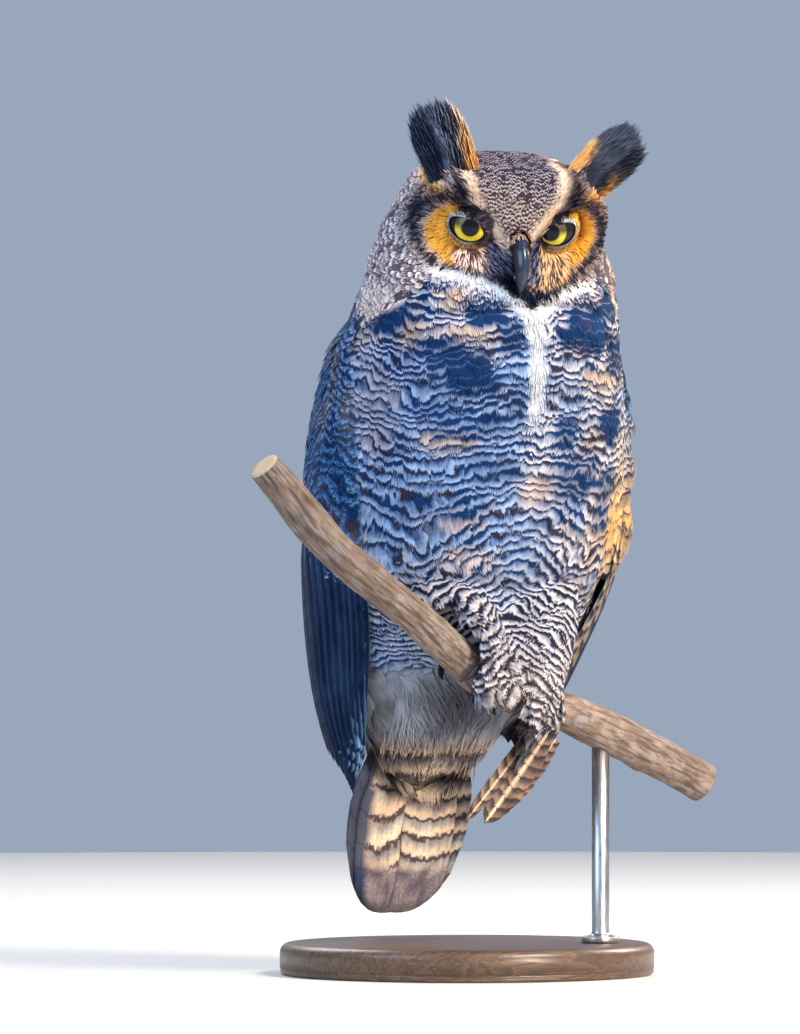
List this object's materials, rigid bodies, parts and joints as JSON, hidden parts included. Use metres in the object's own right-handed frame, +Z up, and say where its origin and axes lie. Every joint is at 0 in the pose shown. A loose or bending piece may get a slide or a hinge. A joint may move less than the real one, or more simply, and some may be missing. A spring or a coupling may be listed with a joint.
{
  "type": "great horned owl, still life-size model",
  "caption": "Great horned owl gripping a cut length of branch, modelled still and life-size, held up by a plain display stand.",
  "frame": {"origin": "centre of the underside of the stand's base", "axes": "+Z up; the owl's body faces -Y and its left side is +X; the head is turned a little to the owl's right"},
  "size_m": [0.3414, 0.236, 0.5526],
  "materials": {
    "barred_plumage": "soft feathers, pale with fine dark bars",
    "mantle_plumage": "feathers, dark brown with fine pale mottling",
    "tail_plumage": "tail feathers, buff with dark bands",
    "face_plumage": "bristly feathers, orange discs with black rims",
    "tuft_plumage": "feathers, slate black with a buff inner edge",
    "horn": "smooth dark horn",
    "eye": "wet, yellow iris and black pupil",
    "bark": "weathered bark with small knots",
    "stained_wood": "satin stained wood",
    "steel": "satin"
  },
  "bodies": {
    "root": {"bill_lower": "horn", "bill_upper": "horn", "claw_left_1": "horn", "claw_left_2": "horn", "claw_left_3": "horn", "claw_left_4": "horn", "claw_right_1": "horn", "claw_right_2": "horn", "claw_right_3": "horn", "claw_right_4": "horn", "ear_tuft_left": "tuft_plumage", "ear_tuft_right": "tuft_plumage", "eye_left": "eye", "eye_right": "eye", "flight_feathers_left": "mantle_plumage", "flight_feathers_right": "mantle_plumage", "foot_left": "barred_plumage", "foot_right": "barred_plumage", "head": "face_plumage", "leg_left": "barred_plumage", "leg_right": "barred_plumage", "neck": "barred_plumage", "perch": "bark", "stand_base": "stained_wood", "stand_rod": "steel", "tail": "tail_plumage", "trunk": "barred_plumage", "wing_left": "mantle_plumage", "wing_right": "mantle_plumage"}
  },
  "joints": []
}
